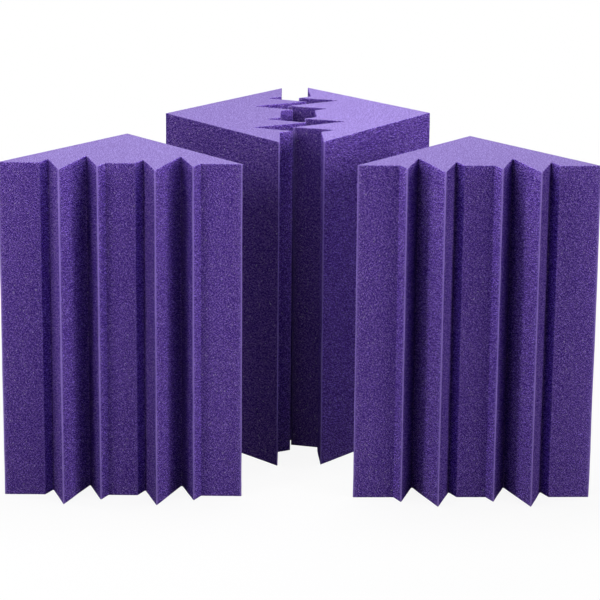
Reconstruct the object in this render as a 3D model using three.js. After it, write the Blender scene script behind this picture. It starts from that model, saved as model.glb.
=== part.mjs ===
// A set of four corner bass traps in soft foam: two stand side by side in front, and behind them stand
// two halves of one block, drawn apart and still facing each other.
//
// A trap is one piece of foam, cut as an upright prism. Its two plain faces meet at a right angle and go
// against the two walls of a room's corner. The third face looks into the room and carries the teeth.
// Two traps come out of one square block with one zig-zag cut from edge to edge. The cut is the same after
// a half turn about the block's middle, so both halves are alike and the teeth of one fill the notches of
// the other.
//
// Millimetres, +Z up, +X to the right, and the set's front faces -Y. The origin is the middle of the
// set's box, on the floor.

import * as THREE from 'three';

// The square block that two traps are cut from
const blockSide = 300;
const blockHeight = 610;

// The cut, along the block's diagonal: groups of teeth with a flat between them
const groupCount = 2;
const groupWidth = 112.6;
const flatBetweenGroups = 51.7;

// One group, going in from either end: how far in each corner lies, and how far it leaves the flat
const smallToothInset = 12.4;
const smallToothReach = 24;
const tallToothInset = 36;
const tallToothReach = 48.8;

// The blade's path is rounded a little at every corner of the cut
const cutRadius = 1;
const arcDivisions = 2;

// How the set stands. Each place is the middle of a trap's toothed face, at the level of its flats
const frontGap = 194.8;
const frontRightSetback = 5;
const rearPairGap = 63.7;
const rearPairSideStep = 4.5;
const rearSetback = 367.5;
const rearRightSetback = 7.6;
const frontRightTurn = THREE.MathUtils.degToRad(1.6);
const rearRightTurn = THREE.MathUtils.degToRad(3.9);

const foamColour = 0x5b45a3;

// The toothed face runs along the diagonal, and the right angle lies half a diagonal behind it
const faceWidth = blockSide * Math.SQRT2;
const faceDepth = faceWidth / 2;
const groupPitch = groupWidth + flatBetweenGroups;

// One group of teeth, from its left end to its right end, about the point middle on the diagonal.
// The right half is written out and the left half is the same points after a half turn.
function groupCorners(middle) {
  const end = groupWidth / 2;
  const rightHalf = [
    new THREE.Vector2(end - tallToothInset, -tallToothReach),
    new THREE.Vector2(end - smallToothInset, smallToothReach),
    new THREE.Vector2(end, 0),
  ];
  const leftHalf = rightHalf.map((corner) => corner.clone().negate()).reverse();
  return [...leftHalf, ...rightHalf].map((corner) => corner.add(new THREE.Vector2(middle, 0)));
}

// All corners of the cut between the two edges of the block, from left to right
function cutCorners() {
  const corners = [];
  for (let i = 0; i < groupCount; i += 1) {
    const stepsFromMiddle = i - (groupCount - 1) / 2;
    corners.push(...groupCorners(stepsFromMiddle * groupPitch));
  }
  return corners;
}

// Goes on along the shape to one corner of the cut and rounds it with an arc that touches both sides
function lineWithRoundCorner(shape, before, corner, after) {
  const back = before.clone().sub(corner).normalize();
  const onward = after.clone().sub(corner).normalize();
  const halfAngle = Math.acos(back.dot(onward)) / 2;
  const toCentre = back.clone().add(onward).normalize().multiplyScalar(cutRadius / Math.sin(halfAngle));
  const centre = corner.clone().add(toCentre);
  const touch = cutRadius / Math.tan(halfAngle);
  const arcStart = corner.clone().addScaledVector(back, touch);
  const arcEnd = corner.clone().addScaledVector(onward, touch);
  const startAngle = arcStart.clone().sub(centre).angle();
  const endAngle = arcEnd.clone().sub(centre).angle();
  const turnsRight = back.cross(onward) > 0;
  shape.lineTo(arcStart.x, arcStart.y);
  shape.absarc(centre.x, centre.y, cutRadius, startAngle, endAngle, turnsRight);
}

// Outline of a trap seen from above: the toothed cut from left to right, then the two wall faces
function trapOutline() {
  const leftEdge = new THREE.Vector2(-faceWidth / 2, 0);
  const rightEdge = new THREE.Vector2(faceWidth / 2, 0);
  const path = [leftEdge, ...cutCorners(), rightEdge];
  const shape = new THREE.Shape();
  shape.moveTo(leftEdge.x, leftEdge.y);
  for (let i = 1; i < path.length - 1; i += 1) {
    lineWithRoundCorner(shape, path[i - 1], path[i], path[i + 1]);
  }
  shape.lineTo(rightEdge.x, rightEdge.y);
  shape.lineTo(0, faceDepth);
  shape.closePath();
  return shape;
}

// A trap with its toothed face towards -Y and its base on the floor
function trap(name) {
  const geometry = new THREE.ExtrudeGeometry(trapOutline(), {
    depth: blockHeight,
    bevelEnabled: false,
    curveSegments: arcDivisions,
  });
  const foam = new THREE.MeshStandardMaterial({ color: foamColour, roughness: 1, metalness: 0 });
  const mesh = new THREE.Mesh(geometry, foam);
  mesh.name = name;
  return mesh;
}

// Front left: the same piece as the others, stood on its other end, so its teeth run the other way
const frontLeft = trap('trap_front_left');
frontLeft.rotation.y = Math.PI;
frontLeft.position.set(-(frontGap + faceWidth) / 2, 0, blockHeight);

const frontRight = trap('trap_front_right');
frontRight.rotation.z = frontRightTurn;
frontRight.position.set((frontGap + faceWidth) / 2, frontRightSetback, 0);

// The rear pair: two halves of one block, pulled apart across their cut
const rearLeft = trap('trap_rear_left');
rearLeft.rotation.z = Math.PI / 2;
rearLeft.position.set(-rearPairSideStep - rearPairGap / 2, rearSetback, 0);

const rearRight = trap('trap_rear_right');
rearRight.rotation.z = -Math.PI / 2 + rearRightTurn;
rearRight.position.set(-rearPairSideStep + rearPairGap / 2, rearSetback + rearRightSetback, 0);

const set = new THREE.Group();
set.add(frontLeft, frontRight, rearLeft, rearRight);

// The origin goes to the middle of the set's box, at floor level
set.updateMatrixWorld(true);
const box = new THREE.Box3().setFromObject(set, true);
const middle = box.getCenter(new THREE.Vector3());
set.position.set(-middle.x, -middle.y, -box.min.z);

export default set;
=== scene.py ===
"""A set of four corner bass traps in purple open-cell foam, on a white studio floor.

Two traps stand in front with their teeth to the viewer. The two behind them are the halves of one square
block, drawn apart across the zig-zag cut that made them. Metres, +Z up, the front faces -Y.
"""
import math

import bpy
import numpy as np
from mathutils import Matrix, Vector


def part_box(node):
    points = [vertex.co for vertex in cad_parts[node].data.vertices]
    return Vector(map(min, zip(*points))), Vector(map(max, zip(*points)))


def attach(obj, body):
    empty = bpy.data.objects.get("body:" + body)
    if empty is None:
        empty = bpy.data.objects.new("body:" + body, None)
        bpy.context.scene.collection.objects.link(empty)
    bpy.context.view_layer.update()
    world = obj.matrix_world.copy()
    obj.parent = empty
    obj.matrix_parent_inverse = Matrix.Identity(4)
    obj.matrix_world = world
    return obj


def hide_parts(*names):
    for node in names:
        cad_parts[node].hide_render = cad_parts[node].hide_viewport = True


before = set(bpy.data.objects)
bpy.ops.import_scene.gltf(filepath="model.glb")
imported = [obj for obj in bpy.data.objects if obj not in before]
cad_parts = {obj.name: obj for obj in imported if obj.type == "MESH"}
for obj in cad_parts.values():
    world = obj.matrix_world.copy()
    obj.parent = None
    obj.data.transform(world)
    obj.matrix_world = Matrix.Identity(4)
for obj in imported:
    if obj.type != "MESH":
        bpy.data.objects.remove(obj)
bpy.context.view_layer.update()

# The square block that two traps are cut from
BLOCK_SIDE = 0.300
BLOCK_HEIGHT = 0.610
FACE_WIDTH = BLOCK_SIDE * math.sqrt(2)
FACE_DEPTH = FACE_WIDTH / 2

# The cut along the block's diagonal
GROUP_WIDTH = 0.1126
FLAT_BETWEEN_GROUPS = 0.0517
GROUP_PITCH = GROUP_WIDTH + FLAT_BETWEEN_GROUPS
SMALL_TOOTH_INSET = 0.0124
SMALL_TOOTH_REACH = 0.024
TALL_TOOTH_INSET = 0.036
TALL_TOOTH_REACH = 0.0488

# How round the foam is along the cut, at the block's upright edges and at its two ends
CUT_RADIUS = 0.001
BLOCK_RADIUS = 0.0012
END_RADIUS = 0.0008

# Spacing of the mesh
ARC_STEPS = 5
END_STEPS = 3
AROUND_SPACING = 0.004
UPWARD_SPACING = 0.003

# How far the sawn faces stray from the plan: the spacing of the waves and their height
SAW_WAVES = ((0.045, 0.00035), (0.011, 0.00012))

# How far the painted highlight along an edge reaches over the faces beside it, and how far its soft
# painted glow, as of light shining through the thin edge, does. On the two wall faces both reach only
# a part of that.
HIGHLIGHT_REACH = 0.003
GLOW_REACH = 0.009
WALL_REACH_SHARE = 0.25

# Faces are painted paler the more nearly they face along this line, either way, and darker the more
# they face across it: painted light and shade by a face's direction. A trap's own frame has its teeth
# towards -Y.
PAINTED_LIGHT_AXIS = np.array([-1.0, -1.0]) / math.sqrt(2)

# How each trap stands: its turn about Z in degrees, and whether it stands on its other end. Then the
# painted light on its two ends, on the scale of the faces' painted light and shade, where 0.5 leaves them
# as they are and more paints them paler, as on the rear right trap; and how far the painted highlights
# and glow on its edges reach, as a share of HIGHLIGHT_REACH and GLOW_REACH.
TRAPS = {
    "trap_front_left": dict(turn=0.0, on_other_end=True, ends_painted_facing_light=0.5, edge_light_share=1.0),
    "trap_front_right": dict(turn=1.6, on_other_end=False, ends_painted_facing_light=0.5, edge_light_share=1.0),
    "trap_rear_left": dict(turn=90.0, on_other_end=False, ends_painted_facing_light=0.5, edge_light_share=0.5),
    "trap_rear_right": dict(turn=-90.0 + 3.9, on_other_end=False, ends_painted_facing_light=0.78, edge_light_share=1.0),
}

# The camera, fitted to the corners of the four traps in the photograph
CAMERA_PLACE = (0.002, -5.2004, 1.893)
CAMERA_DOWN = math.radians(17.20)
CAMERA_ROLL = math.radians(0.52)
SENSOR_WIDTH = 36.0
FOCAL_PIXELS = 2960.0
IMAGE_WIDTH = 600.0

# The foam: its pores and its struts, both again for the ends, which are painted paler as if lit from
# above, painted glints of light off cut struts, rare painted sparkles, and painted light on thin edges
PORE_COLOUR = (0.037, 0.005, 0.238, 1.0)
STRUT_COLOUR = (0.408, 0.234, 0.910, 1.0)
PAINTED_LIT_END_PORE_COLOUR = (0.245, 0.170, 0.490, 1.0)
PAINTED_LIT_END_STRUT_COLOUR = (0.400, 0.310, 0.730, 1.0)
PAINTED_GLINT_COLOUR = (0.850, 0.670, 1.000, 1.0)
PAINTED_SPARKLE_COLOUR = (0.950, 0.860, 1.000, 1.0)
PAINTED_EDGE_LIGHT_COLOUR = (0.480, 0.330, 0.940, 1.0)

# Sizes of the foam's pattern: clumps of cells, single cells, rare painted sparkles, mottling and slow
# clouds. The clumps are CLUMP_DEPTH times longer front to back, so a flank seen at a slant shows as much
# grain as a flat. Each clump darkens the foam one SHADE_STEP below it and one to its left, a painted
# shadow.
CLUMP_SIZE = 0.00095
CLUMP_DEPTH = 2.2
SHADE_STEP = 0.002
CELL_SIZE = 0.0009
SPARKLE_SIZE = 0.0015
MOTTLE_SIZE = 0.010
MOTTLE_DETAIL = 3.0
CLOUD_SIZE = 0.160
CLOUD_DETAIL = 2.0

# How much each of them adds to the foam's shade, which is nought for a pore and one for a strut. The
# offset is added everywhere.
CLUMP_SHARE = 1.30
SHADOW_SHARE = 0.33
CELL_SHARE = 0.25
MOTTLE_SHARE = 0.12
CLOUD_SHARE = 0.20
SHADE_OFFSET = -0.09

# Between which two values of a pattern a mark comes in or fades out. Clumps, painted glints and painted
# sparkles come in with the random number of their cell. The glints and sparkles fade out towards the rim
# of their cell, and the cell walls away from it.
CLUMP_RISE = (0.45, 0.9)
GLINT_RISE = (0.88, 0.94)
SPARKLE_RISE = (0.992, 0.996)
GLINT_RIM = (0.25, 0.60)
SPARKLE_RIM = (0.3, 0.7)
CELL_WALL_RIM = (0.0, 0.25)

# Painted light and shade by a face's direction: how bright a face is that looks across
# PAINTED_LIGHT_AXIS, and how much brighter one is that looks along it
SHADED_FACE_TONE = 0.65
PAINTED_LIGHT_TONE = 0.70

# How strong the painted edge highlight and the painted glow are, and the share of the painted glints
# and sparkles that the ends lack
HIGHLIGHT_STRENGTH = 0.70
GLOW_STRENGTH = 0.18
GLINTS_LOST_ON_ENDS = 0.8

# The foam's relief: how strong and how deep it is, and how much its cell walls add to its clumps
RELIEF_STRENGTH = 0.8
RELIEF_DEPTH = 0.0008
RELIEF_CELL_SHARE = 0.3

# The floor: how far it reaches, its paint where it is seen and what it throws back at the traps. It
# glows by NEAR_GLOW under the traps, where it keeps their shadow, and fully from FADE_END outwards.
FLOOR_REACH = 6.0
FLOOR_PAINT = (0.9, 0.9, 0.9, 1)
FLOOR_THROW = (0.04, 0.04, 0.04, 1)
NEAR_GLOW = 0.90
FADE_START = 0.7
FADE_END = 1.4

# The light: white, dim from all round, and from soft boxes with their place, side and power in watts.
# The last of them lights the back walls.
WHITE = (1, 1, 1, 1)
WORLD_STRENGTH = 0.04
SOFT_BOXES = {
    "overhead": ((0.0, 0.0, 2.2), 0.9, 25.2),
    "left_back": ((-1.79, 0.48, 1.05), 0.6, 4.0),
    "left_side": ((-1.86, -0.05, 0.90), 0.6, 8.8),
    "left_high": ((-1.17, -1.17, 1.42), 0.6, 6.2),
    "left_low": ((-1.38, -1.38, 0.72), 0.6, 4.6),
    "front_high": ((-0.43, -1.60, 1.40), 0.6, 3.9),
    "front_low": ((0.99, -1.71, 0.58), 0.6, 1.5),
    "right_low": ((1.96, -1.96, 0.69), 0.84, 6.2),
    "right_high": ((2.25, -1.30, 1.35), 0.84, 18.6),
    "right_back": ((1.79, 0.48, 1.05), 0.6, 4.8),
    "behind": ((1.00, 1.55, 1.20), 0.6, 6.0),
}


def cut_corners():
    """The corners of the cut from left to right, as rows of (along, across).

    The right half of a group is a tall tooth, a small notch and the end of the teeth. The left half is
    the same three points after a half turn about the group's middle. The groups lie one pitch apart.
    """
    end = GROUP_WIDTH / 2
    right_half = np.array([
        (end - TALL_TOOTH_INSET, -TALL_TOOTH_REACH),
        (end - SMALL_TOOTH_INSET, SMALL_TOOTH_REACH),
        (end, 0.0),
    ])
    group = np.vstack([-right_half[::-1], right_half])
    middles = np.array([(-GROUP_PITCH / 2, 0.0), (GROUP_PITCH / 2, 0.0)])
    return (middles[:, None, :] + group[None, :, :]).reshape(-1, 2)


def trap_corners(block_radius):
    """The corners of the trap seen from above, counter-clockwise, and the radius that each one has."""
    edges = [(FACE_WIDTH / 2, 0.0), (0.0, FACE_DEPTH), (-FACE_WIDTH / 2, 0.0)]
    cut = cut_corners()
    radii = np.concatenate([np.full(len(cut), CUT_RADIUS), np.full(len(edges), block_radius)])
    return np.vstack([cut, edges]), radii


def rounded_ring(corners, radii):
    """A closed outline with an arc in place of each corner, and for each point how sharp its corner is.

    An arc of radius r touches both sides of its corner. Its centre lies on the bisector at r / sin(half
    the inner angle), and its points turn evenly from one touching point to the other. The sharpness is
    the cosine of that half angle, and nought where the corner is a notch.
    """
    back = np.roll(corners, 1, axis=0) - corners
    onward = np.roll(corners, -1, axis=0) - corners
    back /= np.linalg.norm(back, axis=1)[:, None]
    onward /= np.linalg.norm(onward, axis=1)[:, None]
    half = np.arccos(np.sum(back * onward, axis=1)) / 2
    bisector = back + onward
    bisector /= np.linalg.norm(bisector, axis=1)[:, None]
    centre = corners + bisector * (radii / np.sin(half))[:, None]
    touch = (radii / np.tan(half))[:, None]
    first = corners + back * touch - centre
    last = corners + onward * touch - centre
    across = first[:, 0] * last[:, 1] - first[:, 1] * last[:, 0]
    turn = np.arctan2(across, np.sum(first * last, axis=1))
    start = np.arctan2(first[:, 1], first[:, 0])
    angle = start[:, None] + turn[:, None] * np.linspace(0, 1, ARC_STEPS + 1)
    arcs = centre[:, None, :] + radii[:, None, None] * np.stack([np.cos(angle), np.sin(angle)], axis=2)
    sharpness = np.where(turn > 0, np.cos(half), 0.0)
    return arcs.reshape(-1, 2), np.repeat(sharpness, ARC_STEPS + 1)


def head_start(sharpness):
    """How far from an edge a corner of this sharpness counts as being: a blunt one is GLOW_REACH away."""
    return (1 - sharpness) * GLOW_REACH


def filled_ring(points, sharpness):
    """The same outline with points added along its straight stretches, and two values for each.

    A stretch is split into equal parts just under AROUND_SPACING. The first value is the distance to the
    nearest edge: it runs along the stretch to the nearer corner and ends with that corner's head start.
    On the wall faces, the only stretches over FACE_DEPTH, it counts for more. The second is the painted
    light and shade by the stretch's direction: the square of the cosine between its normal and
    PAINTED_LIGHT_AXIS.
    """
    onward = np.roll(points, -1, axis=0)
    length = np.linalg.norm(onward - points, axis=1)
    parts = np.maximum(1, np.ceil(length / AROUND_SPACING)).astype(int)
    start = np.repeat(np.arange(len(points)), parts)
    first = np.concatenate([[0], np.cumsum(parts)[:-1]])
    share = (np.arange(parts.sum()) - np.repeat(first, parts)) / np.repeat(parts, parts)
    ring = points[start] + (onward[start] - points[start]) * share[:, None]
    counted = (length / np.where(length > FACE_DEPTH, WALL_REACH_SHARE, 1.0))[start]
    ahead = head_start(sharpness)
    to_start = share * counted + ahead[start]
    to_end = (1 - share) * counted + np.roll(ahead, -1)[start]
    along = (onward - points) / length[:, None]
    painted_facing_light = (along[:, 1] * PAINTED_LIGHT_AXIS[0] - along[:, 0] * PAINTED_LIGHT_AXIS[1]) ** 2
    return ring, np.minimum(to_start, to_end), painted_facing_light[start]


def ring_normals(points):
    """Outward unit normals of a counter-clockwise ring: the chord of both neighbours, turned right."""
    chord = np.roll(points, -1, axis=0) - np.roll(points, 1, axis=0)
    normal = np.stack([chord[:, 1], -chord[:, 0]], axis=1)
    return normal / np.linalg.norm(normal, axis=1)[:, None]


def lattice_weights(places, spacing, closed_length=None):
    """A matrix that blends lattice values at each place, from the lattice point below to the one above.

    The blend follows half a cosine wave, so the values join without a kink. On a closed line the lattice
    wraps round, and on an open one it has two points more.
    """
    if closed_length:
        count = max(2, int(round(closed_length / spacing)))
        step = closed_length / count
    else:
        count = max(2, int(round(places.max() / spacing)) + 2)
        step = spacing
    cell = np.floor(places / step).astype(int)
    blend = (1 - np.cos(math.pi * (places / step - cell))) / 2
    weights = np.zeros((len(places), count))
    rows = np.arange(len(places))
    np.add.at(weights, (rows, cell % count), 1 - blend)
    np.add.at(weights, (rows, (cell + 1) % count), blend)
    return weights


def saw_strays(ring, level, random):
    """How far each point of the sides strays outwards: smooth random waves round the ring and upwards."""
    length = np.linalg.norm(np.roll(ring, -1, axis=0) - ring, axis=1)
    along = np.concatenate([[0], np.cumsum(length)[:-1]])
    stray = np.zeros((len(level), len(ring)))
    for spacing, height in SAW_WAVES:
        around = lattice_weights(along, spacing, closed_length=length.sum())
        upward = lattice_weights(level, spacing)
        lattice = random.uniform(-height, height, (upward.shape[1], around.shape[1]))
        stray += upward @ lattice @ around.T
    return stray


def turned(points, name):
    """Plan points of a trap as it stands: mirrored if it stands on its other end, then turned about Z."""
    if TRAPS[name]["on_other_end"]:
        points = points * np.array([-1.0, 1.0])
    angle = math.radians(TRAPS[name]["turn"])
    spin = np.array([[math.cos(angle), -math.sin(angle)], [math.sin(angle), math.cos(angle)]])
    return points @ spin.T


def standing_place(name):
    """The middle of the trap's toothed face: it brings the outline's box onto the node's box."""
    outline = turned(rounded_ring(*trap_corners(0.0))[0], name)
    low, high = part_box(name)
    middle_of_box = (np.array(low[:2]) + np.array(high[:2])) / 2
    return middle_of_box - (outline.min(axis=0) + outline.max(axis=0)) / 2


def store_value(mesh, name, on_sides, on_ends):
    """Stores a value at each corner of the mesh's faces. The sides come first and the two ends last."""
    on_corners = np.full(len(mesh.loops), on_ends)
    on_corners[:len(on_sides)] = on_sides
    mesh.attributes.new(name, "FLOAT", "CORNER").data.foreach_set("value", on_corners)


def foam_trap(name, material, seed):
    """A trap as one closed mesh: its outline carried up from the floor, with both ends rounded over.

    Row k is the ring moved inwards by inset[k] at height level[k]. Near each end the pair follows a
    quarter circle of END_RADIUS. Between them the inset is nought and the level climbs in even steps.
    Each end is closed with one flat face. Three attributes help the material: edge_distance, from the
    nearest upright edge, for the painted edge light; painted_facing_light, the painted light and shade by
    a face's direction; and end_cut, one on the two ends, which are painted paler.
    """
    ring, edge_distance, painted_facing_light = filled_ring(*rounded_ring(*trap_corners(BLOCK_RADIUS)))
    quarter = np.linspace(0, math.pi / 2, END_STEPS + 1)
    end_inset = END_RADIUS * (1 - np.sin(quarter))
    end_level = END_RADIUS * (1 - np.cos(quarter))
    rows = int(math.ceil((BLOCK_HEIGHT - 2 * END_RADIUS) / UPWARD_SPACING))
    middle = np.linspace(END_RADIUS, BLOCK_HEIGHT - END_RADIUS, rows + 1)[1:-1]
    inset = np.concatenate([end_inset, np.zeros(rows - 1), end_inset[::-1]])
    level = np.concatenate([end_level, middle, BLOCK_HEIGHT - end_level[::-1]])

    outward = saw_strays(ring, level, np.random.default_rng(seed)) - inset[:, None]
    plan = ring[None, :, :] + ring_normals(ring)[None, :, :] * outward[:, :, None]
    plan = turned(plan, name) + standing_place(name)
    points = np.dstack([plan, np.broadcast_to(level[:, None], outward.shape)]).reshape(-1, 3)

    around = len(ring)
    index = np.arange(points.shape[0]).reshape(len(level), around)
    beside = np.roll(index, -1, axis=1)
    sides = np.stack([index[:-1], beside[:-1], beside[1:], index[1:]], axis=2).reshape(-1, 4)
    bottom, top = index[0][::-1], index[-1]
    if TRAPS[name]["on_other_end"]:
        sides, bottom, top = sides[:, ::-1], bottom[::-1], top[::-1]
    faces = [*sides.tolist(), bottom.tolist(), top.tolist()]
    mesh = bpy.data.meshes.new(name + "_foam")
    mesh.from_pydata(points.tolist(), [], faces)
    mesh.update()

    in_ring = sides.reshape(-1) % around
    in_stretch = np.tile(np.repeat(np.arange(around), 4), len(level) - 1)
    # Painted light: how far each corner is from an edge for the painted edge light, the painted light and
    # shade by a face's direction, and the ends, which are painted paler
    store_value(mesh, "edge_distance", edge_distance[in_ring] / TRAPS[name]["edge_light_share"], BLOCK_SIDE)
    store_value(mesh, "painted_facing_light", painted_facing_light[in_stretch], TRAPS[name]["ends_painted_facing_light"])
    store_value(mesh, "end_cut", np.zeros(sides.size), 1.0)

    smooth = np.ones(len(faces), dtype=bool)
    smooth[-2:] = False
    mesh.polygons.foreach_set("use_smooth", smooth)
    mesh.materials.append(material)
    piece = bpy.data.objects.new(name + "_foam", mesh)
    bpy.context.scene.collection.objects.link(piece)
    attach(piece, "root")
    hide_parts(name)
    return piece


class Value:
    """A shader socket that takes Python's operators. Each one adds its Math node to the socket's tree."""

    def __init__(self, shader, socket):
        self.shader = shader
        self.socket = socket

    def _math(self, operation, *values):
        return self.shader.node("ShaderNodeMath", {"operation": operation}, dict(enumerate(values)))

    def __add__(self, other):
        return self._math("ADD", self, other)

    def __sub__(self, other):
        return self._math("SUBTRACT", self, other)

    def __rsub__(self, other):
        return self._math("SUBTRACT", other, self)

    def __mul__(self, other):
        return self._math("MULTIPLY", self, other)

    __radd__ = __add__
    __rmul__ = __mul__


class Shader:
    """The node tree of a material or of the world, with one method that adds any node."""

    def __init__(self, owner):
        owner.use_nodes = True
        self.tree = owner.node_tree
        self.tree.nodes.clear()

    def node(self, kind, settings=None, inputs=None, output=0):
        """Adds a node with its settings, sets or links its inputs, and returns the output asked for."""
        made = self.tree.nodes.new(kind)
        for key, value in (settings or {}).items():
            setattr(made, key, value)
        for key, value in (inputs or {}).items():
            if isinstance(value, Value):
                self.tree.links.new(value.socket, made.inputs[key])
            else:
                made.inputs[key].default_value = value
        return Value(self, made.outputs[output]) if made.outputs else None

    def mix(self, factor, low, high):
        """A colour between two colours."""
        return self.node("ShaderNodeMix", {"data_type": "RGBA"}, {0: factor, 6: low, 7: high}, output=2)

    def rise(self, value, low, high):
        """Nought below low, one above high, and a smooth rise between them."""
        return self.node("ShaderNodeMapRange", {"interpolation_type": "SMOOTHSTEP"},
                         {"Value": value, "From Min": low, "From Max": high})

    def cells(self, place, size, feature, output):
        """One output of a Voronoi pattern whose cells have this size."""
        return self.node("ShaderNodeTexVoronoi", {"feature": feature},
                         {"Vector": place, "Scale": 1 / size}, output=output)

    def chance(self, place, size):
        """A random number between nought and one for each cell of such a pattern."""
        return self.node("ShaderNodeSeparateColor", None,
                         {"Color": self.cells(place, size, "F1", "Color")})

    def from_middle(self, place, size):
        """How far a place is from the middle of its cell in such a pattern."""
        return self.cells(place, size, "F1", "Distance")

    def moved(self, place, step):
        """The place one step away."""
        return self.node("ShaderNodeVectorMath", {"operation": "ADD"},
                         {0: place, 1: step}, output="Vector")

    def value_of(self, attribute):
        """The value of one of the mesh's attributes."""
        return self.node("ShaderNodeAttribute", {"attribute_name": attribute}, output="Fac")

    def noise(self, place, size, detail):
        """Smooth noise of this size, about 0.5 in the middle."""
        return self.node("ShaderNodeTexNoise", None,
                         {"Vector": place, "Scale": 1 / size, "Detail": detail})

    def seen_white(self):
        """One for rays from the camera, off a mirror and through glass, and nought for the rest."""
        path = self.node("ShaderNodeLightPath", output="Is Camera Ray")
        mirrored = self.node("ShaderNodeLightPath", output="Is Glossy Ray")
        through = self.node("ShaderNodeLightPath", output="Is Transmission Ray")
        return path + mirrored + through


def purple_foam():
    """Open-cell foam: clumps of light struts and dark pores, with painted glints, sparkles and edge
    light.

    The shade runs from pore to strut. It is a clump's own lightness less the painted shadows of the
    clumps to the right of it and above it, plus its cell walls, mottling and clouds. Painted light and
    shade then make a face paler the more it looks along PAINTED_LIGHT_AXIS, and the ends are painted
    paler as if lit from above.
    """
    material = bpy.data.materials.new("purple_foam")
    foam = Shader(material)
    place = foam.node("ShaderNodeTexCoord", output="Object")
    pressed = foam.node("ShaderNodeVectorMath", {"operation": "MULTIPLY"},
                        {0: place, 1: (1.0, 1 / CLUMP_DEPTH, 1.0)}, output="Vector")
    chance = foam.chance(pressed, CLUMP_SIZE)
    on_right = foam.chance(foam.moved(pressed, (SHADE_STEP, 0, 0)), CLUMP_SIZE)
    above = foam.chance(foam.moved(pressed, (0, 0, SHADE_STEP)), CLUMP_SIZE)
    spot = 1 - foam.rise(foam.from_middle(pressed, CLUMP_SIZE), *GLINT_RIM)
    to_wall = foam.cells(place, CELL_SIZE, "DISTANCE_TO_EDGE", "Distance")
    walls = 1 - foam.rise(to_wall, *CELL_WALL_RIM)
    mottling = foam.noise(place, MOTTLE_SIZE, MOTTLE_DETAIL)
    clouds = foam.noise(place, CLOUD_SIZE, CLOUD_DETAIL)
    to_edge = foam.value_of("edge_distance")
    # Painted edge light: a thin painted highlight and a wider painted glow, as of light shining through
    # the thin edge
    line = 1 - foam.rise(to_edge, 0.0, HIGHLIGHT_REACH)
    glow = 1 - foam.rise(to_edge, 0.0, GLOW_REACH)
    end_cut = foam.value_of("end_cut")
    on_sides = 1 - GLINTS_LOST_ON_ENDS * end_cut

    clumps = foam.rise(chance, *CLUMP_RISE)
    shadows = foam.rise(on_right, *CLUMP_RISE) + foam.rise(above, *CLUMP_RISE)
    grain = CLUMP_SHARE * clumps - SHADOW_SHARE * shadows + CELL_SHARE * walls
    slow = MOTTLE_SHARE * mottling + CLOUD_SHARE * clouds
    shade = grain + slow + SHADE_OFFSET
    # Painted light and shade: faces paler or darker by their direction, and the ends by trap
    painted_light_tone = SHADED_FACE_TONE + PAINTED_LIGHT_TONE * foam.value_of("painted_facing_light")
    # Painted glints of light off cut struts, fewer on the ends
    painted_glints = foam.rise(chance, *GLINT_RISE) * spot * on_sides
    # Rare painted sparkles of light, fewer on the ends
    sparkle_spot = 1 - foam.rise(foam.from_middle(place, SPARKLE_SIZE), *SPARKLE_RIM)
    painted_sparkles = foam.rise(foam.chance(place, SPARKLE_SIZE), *SPARKLE_RISE) * sparkle_spot * on_sides
    # The ends are painted paler, as if lit from above; then come the painted glints, the painted light
    # and shade by direction, the painted sparkles and the painted edge light
    colour = foam.mix(shade, foam.mix(end_cut, PORE_COLOUR, PAINTED_LIT_END_PORE_COLOUR),
                      foam.mix(end_cut, STRUT_COLOUR, PAINTED_LIT_END_STRUT_COLOUR))
    colour = foam.mix(painted_glints, colour, PAINTED_GLINT_COLOUR)
    colour = foam.node("ShaderNodeVectorMath", {"operation": "SCALE"},
                       {0: colour, "Scale": painted_light_tone}, output="Vector")
    colour = foam.mix(painted_sparkles, colour, PAINTED_SPARKLE_COLOUR)
    colour = foam.mix(line * HIGHLIGHT_STRENGTH + glow * GLOW_STRENGTH, colour, PAINTED_EDGE_LIGHT_COLOUR)

    height = chance * spot + RELIEF_CELL_SHARE * walls
    relief = foam.node("ShaderNodeBump", None, {
        "Strength": RELIEF_STRENGTH,
        "Distance": RELIEF_DEPTH,
        "Height": height,
    })
    surface = foam.node("ShaderNodeBsdfPrincipled", None, {
        "Base Color": colour,
        "Roughness": 1.0,
        "Specular IOR Level": 0.0,
        "Normal": relief,
    })
    foam.node("ShaderNodeOutputMaterial", None, {"Surface": surface})
    return material


def studio_floor():
    """A wide floor that looks white and keeps the traps' shadow, but throws little light back at them.

    What the camera sees is matt paint mixed with a white glow. Other light meets only dark paint.
    """
    mesh = bpy.data.meshes.new("studio_floor")
    corners = [(x * FLOOR_REACH, y * FLOOR_REACH, 0) for x, y in ((-1, -1), (1, -1), (1, 1), (-1, 1))]
    mesh.from_pydata(corners, [], [(0, 1, 2, 3)])
    floor = bpy.data.objects.new("studio_floor", mesh)
    bpy.context.scene.collection.objects.link(floor)
    material = bpy.data.materials.new("studio_floor")
    paint = Shader(material)
    place = paint.node("ShaderNodeTexCoord", output="Object")
    away = paint.node("ShaderNodeVectorMath", {"operation": "LENGTH"}, {0: place}, output="Value")
    glow_share = NEAR_GLOW + (1 - NEAR_GLOW) * paint.rise(away, FADE_START, FADE_END)
    matt = paint.node("ShaderNodeBsdfDiffuse", None, {"Color": FLOOR_PAINT})
    glow = paint.node("ShaderNodeEmission", None, {"Color": WHITE, "Strength": 1.0})
    seen = paint.node("ShaderNodeMixShader", None, {0: glow_share, 1: matt, 2: glow})
    unseen = paint.node("ShaderNodeBsdfDiffuse", None, {"Color": FLOOR_THROW})
    both = paint.node("ShaderNodeMixShader", None, {0: paint.seen_white(), 1: unseen, 2: seen})
    paint.node("ShaderNodeOutputMaterial", None, {"Surface": both})
    mesh.materials.append(material)


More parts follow.
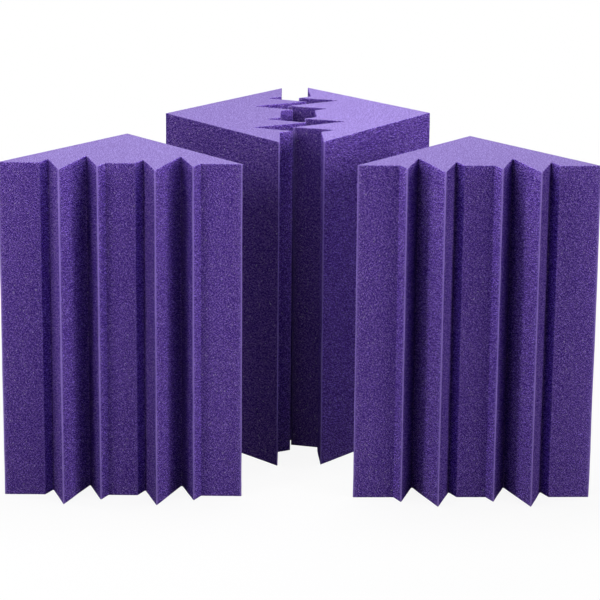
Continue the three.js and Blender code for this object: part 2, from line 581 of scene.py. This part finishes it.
def studio_world():
    """Dim soft light from all round, which looks plain white to the camera."""
    world = bpy.data.worlds.new("studio")
    bpy.context.scene.world = world
    air = Shader(world)
    level = WORLD_STRENGTH + (1 - WORLD_STRENGTH) * air.seen_white()
    light = air.node("ShaderNodeBackground", None, {"Color": WHITE, "Strength": level})
    air.node("ShaderNodeOutputWorld", None, {"Surface": light})


def soft_box(name, place, side, power):
    """A square lamp at this place, with this side and power, which faces the middle of the traps."""
    lamp = bpy.data.lights.new(name, "AREA")
    lamp.shape = "SQUARE"
    lamp.size = side
    lamp.energy = power
    holder = bpy.data.objects.new(name, lamp)
    bpy.context.scene.collection.objects.link(holder)
    away = Vector(place) - Vector((0, 0, BLOCK_HEIGHT / 2))
    holder.matrix_world = Matrix.Translation(place) @ away.to_track_quat("Z", "Y").to_matrix().to_4x4()


def photo_camera():
    """The camera at the photograph's viewing angle, from its place, its tilt down and its roll."""
    lens = bpy.data.cameras.new("photo_camera")
    lens.sensor_width = SENSOR_WIDTH
    lens.lens = FOCAL_PIXELS * SENSOR_WIDTH / IMAGE_WIDTH
    right = Vector((1, 0, 0))
    up = Vector((0, math.sin(CAMERA_DOWN), math.cos(CAMERA_DOWN)))
    forward = Vector((0, math.cos(CAMERA_DOWN), -math.sin(CAMERA_DOWN)))
    rolled_right = right * math.cos(CAMERA_ROLL) + up * math.sin(CAMERA_ROLL)
    rolled_up = up * math.cos(CAMERA_ROLL) - right * math.sin(CAMERA_ROLL)
    axes = Matrix((rolled_right, rolled_up, -forward)).transposed().to_4x4()
    camera = bpy.data.objects.new("photo_camera", lens)
    bpy.context.scene.collection.objects.link(camera)
    camera.matrix_world = Matrix.Translation(CAMERA_PLACE) @ axes
    bpy.context.scene.camera = camera


photo_camera()
foam_material = purple_foam()
for seed, trap_name in enumerate(TRAPS):
    foam_trap(trap_name, foam_material, seed)
studio_floor()
studio_world()
for box_name, (box_place, box_side, box_power) in SOFT_BOXES.items():
    soft_box(box_name, box_place, box_side, box_power)
bpy.context.scene.view_settings.view_transform = "Standard"
